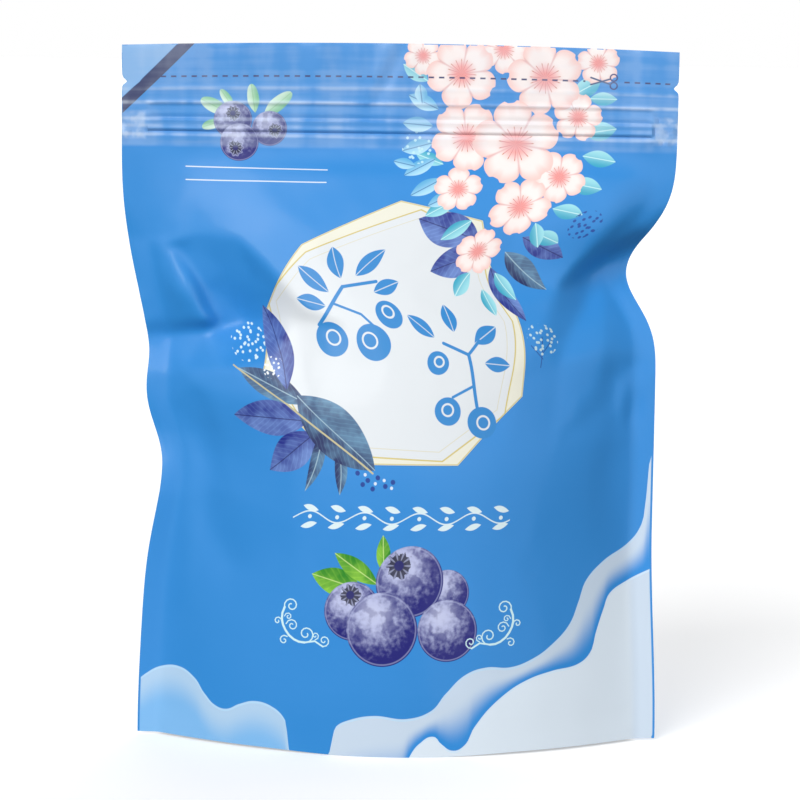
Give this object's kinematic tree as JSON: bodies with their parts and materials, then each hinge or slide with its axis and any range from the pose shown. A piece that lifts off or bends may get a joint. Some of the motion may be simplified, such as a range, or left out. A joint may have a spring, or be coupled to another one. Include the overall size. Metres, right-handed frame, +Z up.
{
  "type": "bag of dried blueberries",
  "caption": "Filled stand-up zip pouch, heat sealed shut, with a bottom gusset, tear nicks, a printed front of berries and leaves, and sides buckled in.",
  "frame": {"origin": "middle of the pouch's footprint, at table height", "axes": "+Z up along the pouch's height, +X to the right as the printed front is read, and the front faces -Y"},
  "size_m": [0.2, 0.0758, 0.254],
  "materials": {
    "film": "satin printed laminate film, mid blue with pale blue waves along the foot and right side"
  },
  "bodies": {
    "root": {"pouch": "film"}
  },
  "joints": []
}
